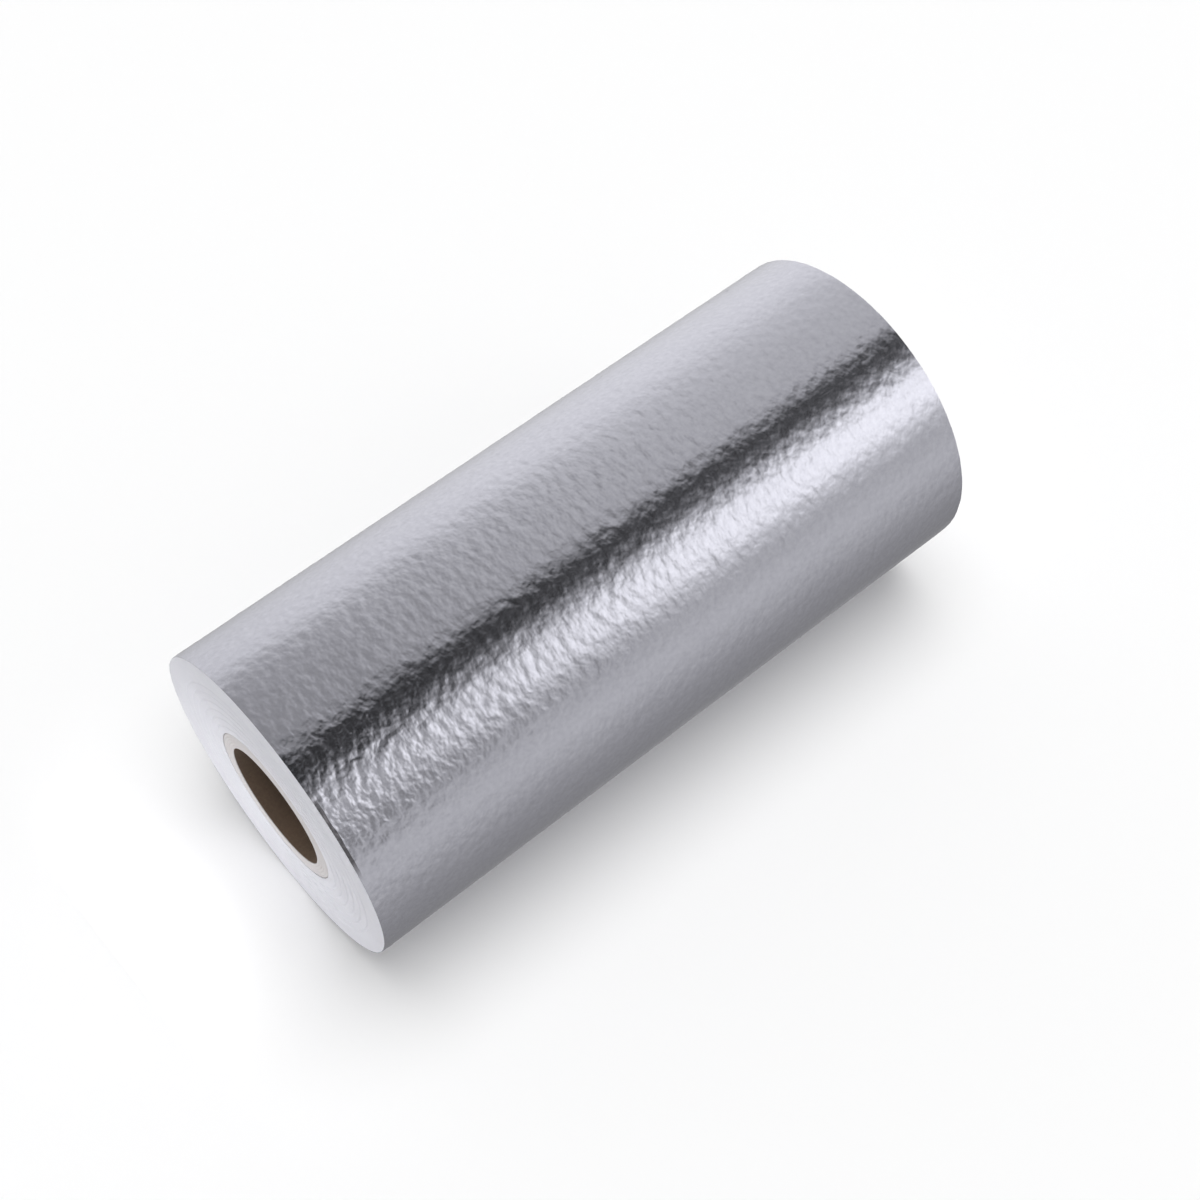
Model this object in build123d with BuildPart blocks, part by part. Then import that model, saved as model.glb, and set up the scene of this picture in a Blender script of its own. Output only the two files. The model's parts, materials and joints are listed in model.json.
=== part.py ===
from build123d import *

import os
from math import cos, radians, sin, sqrt

# A roll of self-adhesive aluminium foil, wound on a card core and lying on its side.
# The roll's axis runs along X. It rests on Z = 0, and the origin is under its middle.

# The roll
roll_width = 120.0
roll_diameter = 55.5
rest_flat_width = 6.4

# The web, which is foil, adhesive and liner paper together, and the edge that ends its outer turn
web_thickness = 0.16
tail_angle = -40.0

# The card core
core_bore = 21.5
core_wall = 2.75
glue_line = 0.05

# The turns at the two ends: slack ones lie lower than tight ones, so they show as a spiral band
slack_turns = 3
tight_turns = 7
slack_depth = 0.15

# Sizes that follow from those above
roll_radius = roll_diameter / 2
core_radius = core_bore / 2 + core_wall
winding_bore_radius = core_radius + glue_line
band_width = slack_turns * web_thickness
band_pitch = band_width + tight_turns * web_thickness
band_start_radius = winding_bore_radius + tight_turns * web_thickness
band_end_radius = roll_radius - web_thickness - band_pitch
band_half_turns = int(2 * (band_end_radius - band_start_radius) / band_pitch)


def polar(radius, angle):
    """The point at a radius and an angle in degrees, in the plane across the roll."""
    return (radius * cos(radians(angle)), radius * sin(radians(angle)))


# The lower half of the outer turn is a half circle about a point just off the roll's axis
turn_radius = roll_radius - web_thickness / 2
turn_centre = polar(web_thickness / 2, tail_angle)
axis_height = sqrt(turn_radius**2 - (rest_flat_width / 2) ** 2) - turn_centre[1]

# The planes of the two ends, with their local x along Y and their local y along Z
near_end = Plane(origin=(-roll_width / 2, 0, axis_height), x_dir=(0, 1, 0), z_dir=(1, 0, 0))
far_end = near_end.offset(roll_width)


def spiral(start_radius, growth, half_turns):
    """Half circles about two centres by turns, so that each full turn is wider by the growth."""
    arcs = []
    for k in range(half_turns):
        centre = polar(k % 2 * growth / 2, tail_angle)
        arcs.append(CenterArc(centre, start_radius + k * growth / 2, tail_angle + 180 * k, 180))
    return arcs


# The card core, a plain tube as long as the roll
with BuildPart() as card_core:
    with BuildSketch(near_end):
        Circle(core_radius)
        Circle(core_bore / 2, mode=Mode.SUBTRACT)
    extrude(amount=roll_width)
card_core.part.label = "card_core"

# The winding: all the turns of foil and liner, whose outer turn ends in a step at the tail
with BuildPart() as foil_winding:
    with BuildSketch(near_end):
        with BuildLine():
            outer_turn = spiral(roll_radius - web_thickness, web_thickness, 2)
            Line(outer_turn[0] @ 0, outer_turn[-1] @ 1)
        make_face()
        Circle(winding_bore_radius, mode=Mode.SUBTRACT)
    extrude(amount=roll_width)

    # The turns are pressed flat where the roll rests
    split(bisect_by=Plane.XY, keep=Keep.TOP)

    # The spiral band of slack turns at each end, from near the core to near the outer turn
    for end, inwards in ((near_end, 1), (far_end, -1)):
        with BuildSketch(end):
            with BuildLine():
                inner_side = spiral(band_start_radius, band_pitch, band_half_turns)
                outer_side = spiral(band_start_radius + band_width, band_pitch, band_half_turns)
                Line(inner_side[0] @ 0, outer_side[0] @ 0)
                Line(inner_side[-1] @ 1, outer_side[-1] @ 1)
            make_face()
        extrude(amount=inwards * slack_depth, mode=Mode.SUBTRACT)
foil_winding.part.label = "foil_winding"

os.makedirs("parts", exist_ok=True)
export_step(card_core.part, "parts/card_core.step")
export_step(foil_winding.part, "parts/foil_winding.step")
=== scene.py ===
import json
from math import cos, pi, radians, sin, tau

import bmesh
import bpy
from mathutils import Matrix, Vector, noise


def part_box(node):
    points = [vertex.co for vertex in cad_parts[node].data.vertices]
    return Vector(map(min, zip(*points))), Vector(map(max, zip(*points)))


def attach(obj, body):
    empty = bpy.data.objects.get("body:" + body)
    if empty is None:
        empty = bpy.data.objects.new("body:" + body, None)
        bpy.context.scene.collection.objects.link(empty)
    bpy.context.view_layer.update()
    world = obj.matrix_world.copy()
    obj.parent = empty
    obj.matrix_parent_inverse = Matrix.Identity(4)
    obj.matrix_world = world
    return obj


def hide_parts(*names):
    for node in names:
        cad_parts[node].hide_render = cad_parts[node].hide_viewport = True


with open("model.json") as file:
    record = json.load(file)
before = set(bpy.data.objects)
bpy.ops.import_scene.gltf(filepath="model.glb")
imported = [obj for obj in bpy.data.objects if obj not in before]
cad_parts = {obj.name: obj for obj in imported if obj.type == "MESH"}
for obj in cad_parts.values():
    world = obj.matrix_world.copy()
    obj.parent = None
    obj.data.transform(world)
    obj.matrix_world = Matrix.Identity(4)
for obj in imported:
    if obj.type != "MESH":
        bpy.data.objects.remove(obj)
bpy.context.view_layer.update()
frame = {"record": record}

# Blender's vector noise starts from the clock unless it is given a seed
NOISE_SEED = 1
noise.seed_set(NOISE_SEED)

# A roll of embossed self-adhesive foil on a card core. All sizes are in metres.
MM = 0.001

# Sizes of the roll, read from the frame
core_low, core_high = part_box("card_core")
winding_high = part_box("foil_winding")[1]
bore_mount = next(m for m in frame["record"]["mounts"] if m["kind"] == "bore")
HALF_WIDTH = winding_high.x
AXIS_HEIGHT = (core_low.z + core_high.z) / 2
AXIS = Vector((0, 0, AXIS_HEIGHT))
CORE_RADIUS = (core_high.z - core_low.z) / 2
BORE_RADIUS = bore_mount["dims"]["r_mm"] * MM
FACE_RADIUS = winding_high.z - AXIS_HEIGHT

# The web and the way it is wound, as in the part
WEB = 0.16 * MM
TAIL_ANGLE = radians(-40)
GLUE_LINE = 0.05 * MM
SLACK_TURNS = 3
TIGHT_TURNS = 7
SLACK_DEPTH = 0.15 * MM
INNER_RADIUS = CORE_RADIUS + GLUE_LINE
RIM_RADIUS = FACE_RADIUS - WEB
BAND_PITCH = (SLACK_TURNS + TIGHT_TURNS) * WEB
BAND_START = INNER_RADIUS + TIGHT_TURNS * WEB
BAND_TURNS = int((RIM_RADIUS - BAND_PITCH - BAND_START) / BAND_PITCH)

# What the meshes share: merging distances, the inner faces' gap to the floor, and the angle of a sharp edge
MERGE = 0.001 * MM
SEAM_MERGE = 0.01 * MM
FLOOR_GAP = 0.05 * MM
CREASE = radians(60)

# The foil's face: its cells, and its usual and greatest depth under the part's own face
CELLS_ALONG = 296
CELLS_AROUND = 324
FACE_SINK = 0.065 * MM
FACE_FLOOR = 0.14 * MM

# The emboss: leaning and slightly domed facets, soft blobs, and wide swells under both
STRETCH = 1.3
FACET = 1.35 * MM
FACET_SLOPE = 0.036
FACET_WANDER = 0.35
FACET_BEND = 0.8
FACET_BLEND = 0.45
LEAN_SPREAD = 37.0
DOME = 0.012
BLOB = 1.7 * MM
BLOB_DEPTH = 0.036 * MM
BLOB_LAYER = 7 * MM
SWELL = 9 * MM
SWELL_DEPTH = 0.03 * MM

# The small folds where the roll was gripped at its near end, and the deeper emboss round them
NEAR_CRUSH = 0.35
NEAR_REACH = 0.7 * HALF_WIDTH
CRUMPLE = 1.9 * MM
CRUMPLE_DEPTH = 0.052 * MM
CRUMPLE_ANGLE = radians(131)
CRUMPLE_SPAN = radians(36)
CRUMPLE_REACH = 24 * MM
CRUMPLE_LAYER = 3 * MM
FOLD_WANDER = 0.5
FOLD_BEND = 0.6

# The foil's two cut rims, which are drawn in a little in waves
RIM_REACH = 1.6 * MM
RIM_DEPTH = 0.07 * MM
RIM_WAVE = 3.2 * MM
NEAR_RIM_LAYER = 5.0
FAR_RIM_LAYER = 11.0

# Where the turns under the outer one lie deeper than it, which leaves a dark line, deepened by painted
# shade on the foil's near rim
LOOSE_ANGLE = radians(134)
LOOSE_SPAN = radians(30)
LOOSE_DEPTH = 1.0 * MM
LOOSE_TURNS = 3

# The turns' edges
STEPS_PER_TURN = 160
ACROSS_TURN = (0.0, 0.25, 0.75)
GROOVE_DEPTH = 0.03 * MM
WEAVE = 0.03 * MM
WEAVE_STEP = 3.7
WEAVE_LAYER = (2.2, 9.1)
BAND_EASE = 0.35
BAND_END = 1.1

# The card tube, and its seam's profile: places along the bore and depths, both in millimetres
CORE_STEPS = 144
SEAM_PITCH = 42 * MM
SEAM_PROFILE = ((0.0, 0.0), (0.3, 0.0), (0.42, 0.14), (0.62, 0.14), (0.74, 0.0), (1.04, 0.0))
PLAIN_ROWS = 12

# The plies' cut edges: shares of a ply, and how far the end lies in there
PLIES = 5
CUT_STEPS = ((0.12, 0.0), (0.88, 0.0), (1.0, 0.07 * MM))
LAST_STEPS = ((0.12, 0.0), (0.55, 0.0), (1.0, 0.16 * MM))

# The foil's finish
SOFT_GRAIN = 1.35 * MM
SOFT_DEPTH = 0.057 * MM
BEND_GRAIN = 1.1 * MM
BEND_REACH = 0.5 * MM
CRINKLE_GRAIN = 0.7 * MM
CRINKLE_DEPTH = 0.003 * MM
CRUSH_GAIN = 1.1
CRUSH_END = -0.4 * HALF_WIDTH
CRUSH_FACING = (0.75, 0.95)
WIDE_TONE = 14 * MM
WIDE_SHARE = 0.2
FINE_TONE = 0.8 * MM
FINE_SHARE = 0.8
FOIL_ROUGHNESS = 0.18
FOIL_ROUGHNESS_SPREAD = 0.05
FOIL_DULL = (0.69, 0.69, 0.775, 1)
FOIL_BRIGHT = (0.90, 0.90, 0.985, 1)
# Painted shade on the foil's near rim, standing in for the shadow in the gap over the deeper turns: which
# way it faces, its grain, its least reach and spread, its share and its dark colour
GAP_SHADE_FACING = (0.95, 0.99)
GAP_SHADE_GRAIN = 3 * MM
GAP_SHADE_LEAST = 0.3 * MM
GAP_SHADE_SPREAD = 0.5 * MM
GAP_SHADE_SHARE = 0.8
GAP_SHADE_COLOUR = (0.12, 0.11, 0.11, 1)

# The finish of the turns' edges
FOIL_LINE_START = 0.72
FOIL_LINE_SHARE = 0.3
FOIL_LINE_COLOUR = (0.60, 0.60, 0.66, 1)
PAPER_MOTTLE = 2.5 * MM
PAPER_GRAIN = 0.12 * MM
PAPER_DEPTH = 0.02 * MM
PAPER_ROUGHNESS = 0.62
PAPER_GREY = (0.80, 0.80, 0.865, 1)
PAPER_WHITE = (0.87, 0.87, 0.915, 1)

# The card's finish
CARD_GRAIN = 0.5 * MM
CARD_DEPTH = 0.06 * MM
CARD_ROUGHNESS = 0.85
CARD_BLOTCH = 6 * MM
BLOTCH_SHARE = 0.6
CUT_FROM = HALF_WIDTH - 0.16 * MM
CUT_TO = HALF_WIDTH - 0.08 * MM
BROWN_DARK = (0.13, 0.086, 0.058, 1)
BROWN_LIGHT = (0.27, 0.19, 0.135, 1)
BROWN_BLOTCH = (0.13, 0.095, 0.073, 1)
CUT_DARK = (0.61, 0.585, 0.59, 1)
CUT_LIGHT = (0.76, 0.73, 0.735, 1)

# The camera, as fitted to the roll's outline in the photograph
AZIMUTH = radians(-39.99)
ELEVATION = radians(58.32)
AIM = AXIS + Vector((1.88, -3.52, 0)) * MM
LENS = 64.51
DISTANCE = 348.2 * MM
CLIP_START = 0.01

# The floor and the wall
FLOOR_REACH = 6.0
FLOOR_COLOUR = (0.95, 0.95, 0.95, 1)
WALL_RADIUS = 5.9
WALL_HEIGHT = 12.0
WALL_SIDES = 96
BLACK = (0, 0, 0, 1)
WHITE = (1, 1, 1, 1)

# The sky's levels by the angle about the roll: -90 straight down, 0 in front, 90 overhead and 180 behind
SKY_LEVELS = (
    (-90, 0.24),
    (-75, 0.25),
    (-58, 0.275),
    (-41, 0.335),
    (-25, 0.44),
    (-10, 0.52),
    (12, 0.42),
    (25, 0.66),
    (33, 1.05),
    (51, 1.03),
    (59, 0.47),
    (65, 0.20),
    (70, 0.075),
    (76, 0.015),
    (81, 0.005),
    (86, 0.21),
    (92, 0.46),
    (120, 0.48),
    (146, 0.57),
    (162, 0.73),
    (180, 0.78),
    (204, 0.74),
    (235, 0.50),
    (268, 0.26),
)

# How much brighter or darker the sky is towards the far end than towards the near one, by that angle
SKY_GAINS = (
    (0.7, 6, 20),
    (-0.25, 74, 86),
    (-0.3, 146, 165),
)
FAR_SKY = (0.15, 0.42)
FAR_SHARE = 0.9

# Beyond the roll's two ends the sky has one plain level
END_SKY = (0.6, 0.85)
END_LEVEL = 0.48

# The sun, and the small lamp at the near end
SUN_FROM = (0.10, -0.04, 1.0)
SUN_ENERGY = 2.16
SUN_ANGLE = radians(54)
LAMP_FROM = (-1, 0, 0)
LAMP_PLACE = (-HALF_WIDTH - 30 * MM, 9 * MM, 14 * MM)
LAMP_ENERGY = 0.0036
LAMP_SIZE = 26 * MM


class Socket:
    """One output of a shader node. Python's operators on it add Math nodes."""

    def __init__(self, graph, output):
        self.graph = graph
        self.output = output

    def maths(self, operation, *values):
        return self.graph.add("ShaderNodeMath", {"operation": operation}, values)

    def __add__(self, other):
        return self.maths("ADD", self, other)

    __radd__ = __add__

    def __mul__(self, other):
        return self.maths("MULTIPLY", self, other)

    __rmul__ = __mul__

    def __sub__(self, other):
        return self.maths("SUBTRACT", self, other)

    def __rsub__(self, other):
        return self.maths("SUBTRACT", other, self)

    def __truediv__(self, other):
        return self.maths("DIVIDE", self, other)

    def __pow__(self, other):
        return self.maths("POWER", self, other)

    def __gt__(self, other):
        return self.maths("GREATER_THAN", self, other)

    def __abs__(self):
        return self.maths("ABSOLUTE", self)

    def fraction(self):
        return self.maths("FRACT", self)

    def angle_from(self, other):
        """The angle in radians, from the other socket's axis, of a direction with these two parts."""
        return self.maths("ARCTAN2", self, other)

    def between(self, low, high):
        """0 below low, 1 above high, and smooth from one to the other."""
        values = {"Value": self, "From Min": low, "From Max": high}
        return self.graph.add("ShaderNodeMapRange", {"interpolation_type": "SMOOTHSTEP"}, values)

    def other(self, name):
        """Another output of the same node."""
        return Socket(self.graph, self.output.node.outputs[name])


class Graph:
    """The node tree of a material or of the world."""

    def __init__(self, owner):
        owner.use_nodes = True
        self.tree = owner.node_tree
        self.tree.nodes.clear()

    def add(self, kind, settings=None, values=(), output=0):
        """A node, its settings set first and then the values or links of its sockets. Gives one output."""
        node = self.tree.nodes.new(kind)
        for name, setting in (settings or {}).items():
            if name == "stops":
                self.set_stops(node.color_ramp, setting)
            else:
                setattr(node, name, setting)
        named = values.items() if isinstance(values, dict) else enumerate(values)
        for name, value in named:
            if isinstance(value, Socket):
                self.tree.links.new(value.output, node.inputs[name])
            else:
                node.inputs[name].default_value = value
        return Socket(self, node.outputs[output]) if node.outputs else None

    def set_stops(self, ramp, stops):
        """A grey ramp through (place, level) stops."""
        while len(ramp.elements) < len(stops):
            ramp.elements.new(0.5)
        for element, (place, level) in zip(ramp.elements, stops):
            element.position = place
            element.color = (level, level, level, 1)

    def mix(self, share, first, second):
        """A colour between two colours."""
        return self.add("ShaderNodeMix", {"data_type": "RGBA"}, {0: share, 6: first, 7: second}, output=2)

    def vectors(self, operation, *values):
        """A vector worked out from others."""
        return self.add("ShaderNodeVectorMath", {"operation": operation}, values)

    def place(self):
        """The Object coordinates, as one vector and as x, y and z."""
        vector = self.add("ShaderNodeTexCoord", output="Object")
        return vector, *self.split(vector)

    def split(self, vector):
        x = self.add("ShaderNodeSeparateXYZ", values=[vector])
        return x, x.other("Y"), x.other("Z")

    def noise(self, vector, size, detail=2.0, roughness=0.5, output="Fac"):
        """Noise from 0 to 1 whose grain has about the given size."""
        values = {"Vector": vector, "Scale": 1 / size, "Detail": detail, "Roughness": roughness}
        return self.add("ShaderNodeTexNoise", values=values, output=output)

    def bump(self, height):
        """A normal bent by a height in metres."""
        return self.add("ShaderNodeBump", values={"Height": height, "Distance": 1.0, "Strength": 1.0})

    def surface(self, **values):
        """The Principled shader and the output of a material."""
        sockets = {name.replace("_", " "): value for name, value in values.items()}
        shader = self.add("ShaderNodeBsdfPrincipled", values=sockets)
        self.add("ShaderNodeOutputMaterial", values={"Surface": shader})


def material(name):
    made = bpy.data.materials.new(name)
    return made, Graph(made)


def foil_finish():
    """Bright aluminium with a fine crinkled emboss, a little more crushed where the roll was gripped, and
    painted shade at its near rim.
    """
    made, graph = material("embossed_foil")
    vector, x, y, z = graph.place()
    facing = (y * cos(LOOSE_ANGLE) + (z - AXIS_HEIGHT) * sin(LOOSE_ANGLE)) / FACE_RADIUS
    crush = 1 + CRUSH_GAIN * (1 - x.between(-HALF_WIDTH, CRUSH_END)) * facing.between(*CRUSH_FACING)
    wander = graph.noise(vector, BEND_GRAIN, output="Color")
    stretched = graph.vectors("MULTIPLY", vector, (STRETCH, 1, 1))
    bent = graph.vectors("MULTIPLY_ADD", wander, (BEND_REACH,) * 3, stretched)
    soft = graph.noise(bent, SOFT_GRAIN, detail=1.0) * SOFT_DEPTH
    crinkle = graph.noise(vector, CRINKLE_GRAIN, detail=3.0, roughness=0.6)
    wide_tone = graph.noise(vector, WIDE_TONE, detail=3.0)
    tone = WIDE_SHARE * wide_tone + FINE_SHARE * graph.noise(vector, FINE_TONE)
    bright = graph.mix(tone, FOIL_DULL, FOIL_BRIGHT)

    # Painted shade: the foil is darkened at its near rim, standing in for the shadow in the gap where the
    # turns under it lie deeper
    reach = GAP_SHADE_LEAST + GAP_SHADE_SPREAD * graph.noise(vector, GAP_SHADE_GRAIN)
    painted_gap_shade = facing.between(*GAP_SHADE_FACING) * ((reach - HALF_WIDTH) > x)
    graph.surface(
        Base_Color=graph.mix(painted_gap_shade * GAP_SHADE_SHARE, bright, GAP_SHADE_COLOUR),
        Metallic=1.0,
        Roughness=FOIL_ROUGHNESS + FOIL_ROUGHNESS_SPREAD * crinkle,
        Normal=graph.bump((soft + CRINKLE_DEPTH * crinkle) * crush),
    )
    return made


def turns_finish():
    """The cut edges of the web: white liner paper with a thin grey line of foil in each turn."""
    made, graph = material("turn_edges")
    vector, _, y, z = graph.place()
    rise = z - AXIS_HEIGHT
    radius = (y * y + rise * rise) ** 0.5
    turn = radius / WEB - rise.angle_from(y) / tau + TAIL_ANGLE / tau
    foil_line = (turn.fraction() > FOIL_LINE_START) * FOIL_LINE_SHARE
    mottle = graph.noise(vector, PAPER_MOTTLE, detail=4.0, roughness=0.6)
    fibre = graph.noise(vector, PAPER_GRAIN)
    paper = graph.mix(mottle, PAPER_GREY, PAPER_WHITE)
    graph.surface(
        Base_Color=graph.mix(foil_line, paper, FOIL_LINE_COLOUR),
        Roughness=PAPER_ROUGHNESS,
        Normal=graph.bump(fibre * PAPER_DEPTH),
    )
    return made


def card_finish():
    """Brown card, paler where the knife cut it."""
    made, graph = material("kraft_card")
    vector, x, _, _ = graph.place()
    fibre = graph.noise(vector, CARD_GRAIN, detail=5.0, roughness=0.65)
    blotch = graph.noise(vector, CARD_BLOTCH, detail=3.0)
    brown = graph.mix(fibre, BROWN_DARK, BROWN_LIGHT)
    brown = graph.mix(blotch * BLOTCH_SHARE, brown, BROWN_BLOTCH)
    pale = graph.mix(fibre, CUT_DARK, CUT_LIGHT)
    graph.surface(
        Base_Color=graph.mix(abs(x).between(CUT_FROM, CUT_TO), brown, pale),
        Roughness=CARD_ROUGHNESS,
        Normal=graph.bump(fibre * CARD_DEPTH),
    )
    return made


def floor_finish():
    """A pale surface with no gloss."""
    made, graph = material("pale_floor")
    graph.surface(Base_Color=FLOOR_COLOUR, Roughness=1.0, Specular_IOR_Level=0.0)
    return made


def wall_finish():
    """A surface that is plain white to the camera."""
    made, graph = material("white_wall")
    graph.surface(Base_Color=BLACK, Specular_IOR_Level=0.0, Emission_Color=WHITE, Emission_Strength=1.0)
    return made


def polar(radius, angle):
    """The offset across the roll at a radius and an angle."""
    return Vector((0, radius * cos(angle), radius * sin(angle)))


def at_radius(spot, radius):
    """The place in the roll's middle plane at a radius and at a spot's angle about the axis."""
    away = spot - AXIS
    away.x = 0
    return AXIS + away.normalized() * radius


def ease(share):
    """0 below 0, 1 above 1, and smooth from one to the other."""
    share = min(max(share, 0.0), 1.0)
    return share * share * (3 - 2 * share)


def grow(turn, growth):
    """How far a spiral of half circles about two centres has grown at a share of a turn past the tail."""
    return growth / 2 * (1 + cos(tau * turn)) if turn > 0.5 else 0.0


def unit_grid(columns, rows):
    """A new mesh of one flat grid, one unit wide and one unit long."""
    bm = bmesh.new()
    bmesh.ops.create_grid(bm, x_segments=columns, y_segments=rows, size=0.5)
    return bm


def finished(name, bm, finish):
    """The mesh as an object with smooth faces that point outwards."""
    bmesh.ops.recalc_face_normals(bm, faces=bm.faces)
    mesh = bpy.data.meshes.new(name)
    bm.to_mesh(mesh)
    bm.free()
    mesh.shade_smooth()
    mesh.set_sharp_from_angle(angle=CREASE)
    mesh.materials.append(finish)
    piece = bpy.data.objects.new(name, mesh)
    bpy.context.scene.collection.objects.link(piece)
    return piece


def open_edges(bm, wanted=lambda middle: True):
    """The open edges of a mesh whose middles pass a test."""
    edges = [e for e in bm.edges if e.is_boundary]
    return [e for e in edges if wanted((e.verts[0].co + e.verts[1].co) / 2)]


def extruded(bm, edges):
    """The new vertices after a row of edges is extruded in place."""
    result = bmesh.ops.extrude_edge_only(bm, edges=edges)
    return [v for v in result["geom"] if isinstance(v, bmesh.types.BMVert)]


def looseness(angle):
    """1 where the turns under the outer one lie furthest in from the end, and 0 away from there."""
    away = abs((angle - LOOSE_ANGLE + pi) % tau - pi)
    return ease(1 - away / LOOSE_SPAN)


def crumple(x, along, angle):
    """The height of the small folds where the roll was gripped at its near end."""
    near = ease(1 - (x + HALF_WIDTH) / CRUMPLE_REACH)
    around = ease(1 - abs(angle - CRUMPLE_ANGLE) / CRUMPLE_SPAN)
    flat = Vector((x, along, CRUMPLE_LAYER)) / CRUMPLE
    fold = abs(noise.noise(flat + FOLD_WANDER * noise.noise_vector(flat * FOLD_BEND)))
    return CRUMPLE_DEPTH * near * around * (1 - 2 * fold)


def emboss_depth(x, along, angle):
    """How far the foil's face lies under the part's own, at a place along the roll and along the web."""
    around = ease(1 - abs(angle - CRUMPLE_ANGLE) / CRUMPLE_SPAN)
    crush = 1 + NEAR_CRUSH * around * (1 - ease((x + HALF_WIDTH) / NEAR_REACH))
    flat = Vector((x * STRETCH, along, 0.0)) / FACET
    flat += FACET_WANDER * noise.noise_vector(flat * FACET_BEND)
    distances, centres = noise.voronoi(flat)
    nearest = 0.5 + 0.5 * ease((distances[1] - distances[0]) / FACET_BLEND)
    facet = FACET * DOME * distances[0] ** 2
    for share, centre in ((nearest, centres[0]), (1 - nearest, centres[1])):
        lean = noise.cell_vector(centre * LEAN_SPREAD) - Vector((0.5, 0.5, 0.5))
        facet += FACET * 2 * FACET_SLOPE * share * (flat - centre).dot(lean)
    blob = BLOB_DEPTH * noise.noise(Vector((x * STRETCH, along, BLOB_LAYER)) / BLOB)
    swell = SWELL_DEPTH * noise.noise(Vector((x, along, 0.0)) / SWELL)
    return FACE_SINK + crush * (facet + blob) + swell - crumple(x, along, angle)


def rim_depth(x, along, angle):
    """How far the foil is drawn in at its cut rims."""
    reach = HALF_WIDTH - abs(x)
    if reach > RIM_REACH:
        return 0.0
    fade = (1 - reach / RIM_REACH) ** 2
    layer = FAR_RIM_LAYER if x > 0 else NEAR_RIM_LAYER
    drawn = max(0.0, 0.5 + noise.noise(Vector((along / RIM_WAVE, layer, 0.0))))
    if x < 0:
        drawn *= 1 - looseness(angle)
    return RIM_DEPTH * fade * drawn


def outer_turn():
    """The last turn of the web, from under its own tail right round to the tail."""
    bm = unit_grid(CELLS_ALONG, CELLS_AROUND)
    for vert in bm.verts:
        x = 2 * HALF_WIDTH * vert.co.x
        turn = vert.co.y + 0.5
        angle = TAIL_ANGLE + tau * turn
        along = tau * FACE_RADIUS * turn
        depth = emboss_depth(x, along, angle) + rim_depth(x, along, angle)
        depth = min(max(depth, 0.0), FACE_FLOOR)
        place = AXIS + polar(FACE_RADIUS + grow(turn, WEB) - depth, angle)
        vert.co = Vector((x, place.y, max(place.z, 0.0)))

    # The step at the tail joins the turn's two long borders
    bmesh.ops.bridge_loops(bm, edges=open_edges(bm, lambda middle: abs(middle.x) < HALF_WIDTH - MERGE))

    # The rims turn in to the wall's thickness, and the turn's inner face closes it
    for side in (-1, 1):
        rim = open_edges(bm, lambda middle: middle.x * side > HALF_WIDTH - MERGE)
        for vert in extruded(bm, rim):
            inner = at_radius(vert.co, RIM_RADIUS)
            vert.co = Vector((vert.co.x, inner.y, max(inner.z, FLOOR_GAP)))
    bmesh.ops.remove_doubles(bm, verts=bm.verts, dist=MERGE)
    bmesh.ops.bridge_loops(bm, edges=open_edges(bm))
    return bm


def end_relief(radius, turn):
    """How far a place on the roll's end lies below it, along the spiral band of slack turns."""
    place = (radius - BAND_START - grow(turn, BAND_PITCH)) / BAND_PITCH
    if not 0 <= place < BAND_TURNS:
        return 0.0
    share = place % 1 / (SLACK_TURNS / (SLACK_TURNS + TIGHT_TURNS))
    return SLACK_DEPTH * ease(share / BAND_EASE) * ease((BAND_END - share) / BAND_EASE)


def wound_turns():
    """All the turns under the outer one, as a block whose two ends show the edge of each turn."""
    rows_per_turn = len(ACROSS_TURN)
    turns = int((RIM_RADIUS - INNER_RADIUS) / WEB) + 2
    rows = turns * rows_per_turn
    bm = unit_grid(STEPS_PER_TURN, rows)
    for vert in bm.verts:
        turn = round((vert.co.x + 0.5) * STEPS_PER_TURN) / STEPS_PER_TURN
        layer, part_row = divmod(round((vert.co.y + 0.5) * rows), rows_per_turn)
        wound = layer + turn - 1
        radius = INNER_RADIUS + WEB * (wound + ACROSS_TURN[part_row])
        angle = TAIL_ANGLE + tau * turn
        sink = 0.0
        if INNER_RADIUS < radius < RIM_RADIUS:
            weave = 0.5 + 0.5 * noise.noise(Vector((wound * WEAVE_STEP, *WEAVE_LAYER)))
            sink = WEAVE * weave + end_relief(radius, turn % 1)
            if part_row == 0:
                sink += GROOVE_DEPTH
            sink += LOOSE_DEPTH * looseness(angle) * ease((radius - RIM_RADIUS) / (LOOSE_TURNS * WEB) + 1)
        radius = min(max(radius, INNER_RADIUS), RIM_RADIUS)
        place = AXIS + polar(radius, angle)
        vert.co = Vector((sink - HALF_WIDTH, place.y, max(place.z, FLOOR_GAP)))
    bmesh.ops.remove_doubles(bm, verts=bm.verts, dist=MERGE)
    bmesh.ops.dissolve_degenerate(bm, edges=bm.edges, dist=MERGE)

    # The far end mirrors the near one, and the bore and the rim join them
    bmesh.ops.mirror(bm, geom=bm.verts[:] + bm.edges[:] + bm.faces[:], merge_dist=-1.0, axis="X")
    middle_radius = (INNER_RADIUS + RIM_RADIUS) / 2
    inner = open_edges(bm, lambda middle: Vector((middle.y, middle.z - AXIS_HEIGHT)).length < middle_radius)
    bmesh.ops.bridge_loops(bm, edges=inner)
    bmesh.ops.bridge_loops(bm, edges=open_edges(bm))
    return bm


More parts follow.
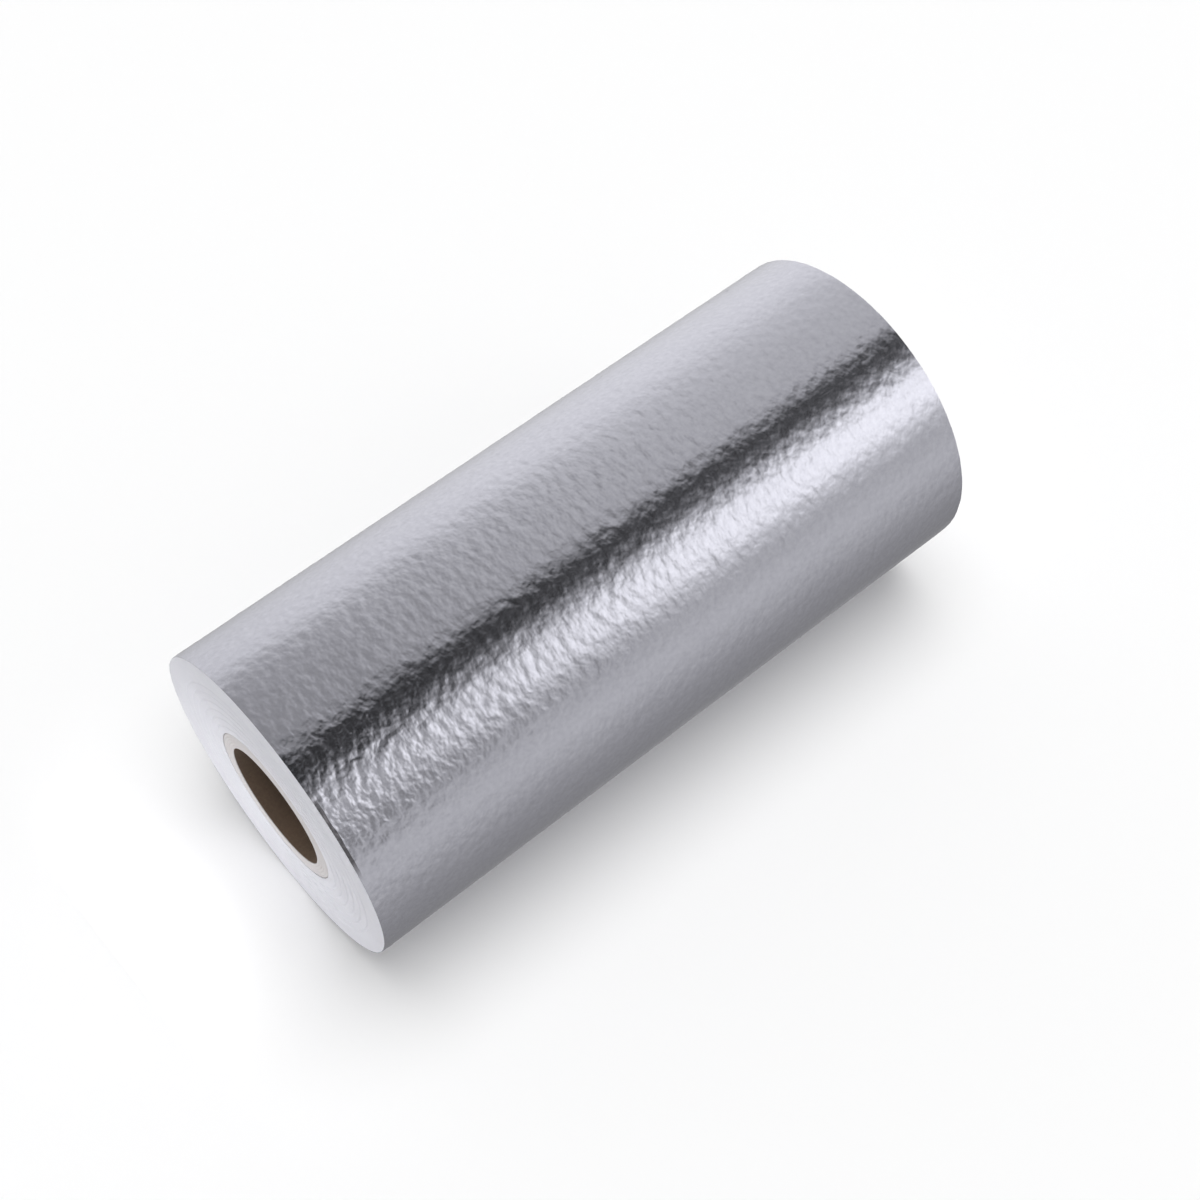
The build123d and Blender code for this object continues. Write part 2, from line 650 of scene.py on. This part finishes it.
def card_tube():
    """The card tube: a bore with a helical ply seam, and cut ends that show the plies' edges."""
    profile = [(MM * offset, MM * depth) for offset, depth in SEAM_PROFILE]
    seam_end = profile[-1][0]
    plain = (SEAM_PITCH - seam_end) / (PLAIN_ROWS + 1)
    profile += [(seam_end + plain * (k + 1), 0.0) for k in range(PLAIN_ROWS)]
    helices = int(2 * HALF_WIDTH / SEAM_PITCH) + 3
    rows = helices * len(profile)
    bm = unit_grid(rows, CORE_STEPS)
    for vert in bm.verts:
        turn = vert.co.y + 0.5
        helix, row = divmod(round((vert.co.x + 0.5) * rows), len(profile))
        offset, depth = profile[row]
        place = AXIS + polar(BORE_RADIUS + depth, tau * turn)
        x = SEAM_PITCH * (helix + turn - helices / 2) + offset
        vert.co = Vector((x, place.y, place.z))
    bmesh.ops.remove_doubles(bm, verts=bm.verts, dist=SEAM_MERGE)

    # The knife's two cuts
    for side in (-1, 1):
        geom = bm.verts[:] + bm.edges[:] + bm.faces[:]
        cut = Vector((side * HALF_WIDTH, 0, 0))
        bmesh.ops.bisect_plane(bm, geom=geom, plane_co=cut, plane_no=(side, 0, 0), clear_outer=True)

    # The plies' edges, from the bore outwards, and the tube's outer face
    ply = (CORE_RADIUS - BORE_RADIUS) / PLIES
    steps = [(k + share, sink) for k in range(PLIES - 1) for share, sink in CUT_STEPS]
    steps += [(PLIES - 1 + share, sink) for share, sink in LAST_STEPS]
    for side in (-1, 1):
        for plies, sink in steps:
            edge = open_edges(bm, lambda middle: middle.x * side > 0)
            for vert in extruded(bm, edge):
                place = at_radius(vert.co, BORE_RADIUS + ply * plies)
                vert.co = Vector((side * (HALF_WIDTH - sink), place.y, place.z))
    bmesh.ops.bridge_loops(bm, edges=open_edges(bm))
    return bm


def camera():
    """A portrait lens that looks down on the roll from beyond its near end."""
    back = Vector((sin(AZIMUTH) * cos(ELEVATION), -cos(AZIMUTH) * cos(ELEVATION), sin(ELEVATION)))
    made = bpy.data.objects.new("camera", bpy.data.cameras.new("camera"))
    made.data.lens = LENS
    made.data.clip_start = CLIP_START
    made.location = AIM + back * DISTANCE
    made.rotation_mode = "QUATERNION"
    made.rotation_quaternion = (-back).to_track_quat("-Z", "Y")
    bpy.context.scene.collection.objects.link(made)
    bpy.context.scene.camera = made


def floor():
    """A wide floor that metal doesn't mirror."""
    bm = bmesh.new()
    bmesh.ops.create_grid(bm, x_segments=1, y_segments=1, size=FLOOR_REACH)
    made = finished("floor", bm, floor_finish())
    made.visible_glossy = False
    return made


def backdrop():
    """A white wall right round, far off, that only the camera sees."""
    bm = bmesh.new()
    bmesh.ops.create_cone(
        bm, cap_ends=False, segments=WALL_SIDES, radius1=WALL_RADIUS, radius2=WALL_RADIUS, depth=WALL_HEIGHT
    )
    made = finished("backdrop", bm, wall_finish())
    for kind_of_ray in ("diffuse", "glossy", "shadow", "transmission"):
        setattr(made, "visible_" + kind_of_ray, False)
    return made


def sky():
    """A soft sky with a dark gap overhead, which the foil mirrors right round the roll."""
    world = bpy.data.worlds.new("soft_sky")
    bpy.context.scene.world = world
    graph = Graph(world)
    x, y, z = graph.split(graph.add("ShaderNodeTexCoord", output="Generated"))
    around = y.angle_from(z) / radians(1) + 90
    stops = [((angle + 90) / 360, level) for angle, level in SKY_LEVELS]
    pattern = graph.add("ShaderNodeValToRGB", {"stops": stops}, [around / 360 + 0.25])
    gain = sum(share * around.between(low, high) for share, low, high in SKY_GAINS)
    along_roll = 1 + gain * (x.between(*FAR_SKY) - FAR_SHARE)
    end = abs(x).between(*END_SKY)
    level = pattern * along_roll * (1 - end) + END_LEVEL * end
    background = graph.add("ShaderNodeBackground", values={"Color": WHITE, "Strength": level})
    graph.add("ShaderNodeOutputWorld", values={"Surface": background})


def light(name, kind, comes_from, place=(0, 0, 0), **settings):
    """A soft light that neither the camera nor metal shows."""
    made = bpy.data.objects.new(name, bpy.data.lights.new(name, kind))
    for setting, value in settings.items():
        setattr(made.data, setting, value)
    made.location = place
    made.rotation_mode = "QUATERNION"
    made.rotation_quaternion = Vector(comes_from).to_track_quat("Z", "Y")
    made.visible_camera = False
    made.visible_glossy = False
    bpy.context.scene.collection.objects.link(made)


def studio():
    """A pale floor, a white wall, a soft sky, a soft sun and a small low lamp at the near end."""
    floor()
    backdrop()
    sky()
    light("overhead", "SUN", SUN_FROM, energy=SUN_ENERGY, angle=SUN_ANGLE)
    light("near_end", "AREA", LAMP_FROM, LAMP_PLACE, energy=LAMP_ENERGY, size=LAMP_SIZE)


bpy.context.scene.view_settings.view_transform = "Standard"
camera()
studio()

pieces = (
    ("outer_turn", outer_turn(), foil_finish(), "foil", "foil_winding"),
    ("wound_turns", wound_turns(), turns_finish(), "liner", "foil_winding"),
    ("card_tube", card_tube(), card_finish(), "card", "card_core"),
)
for name, bm, finish, slot, node in pieces:
    piece = finished(name, bm, finish)
    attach(piece, "root")
    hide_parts(node)
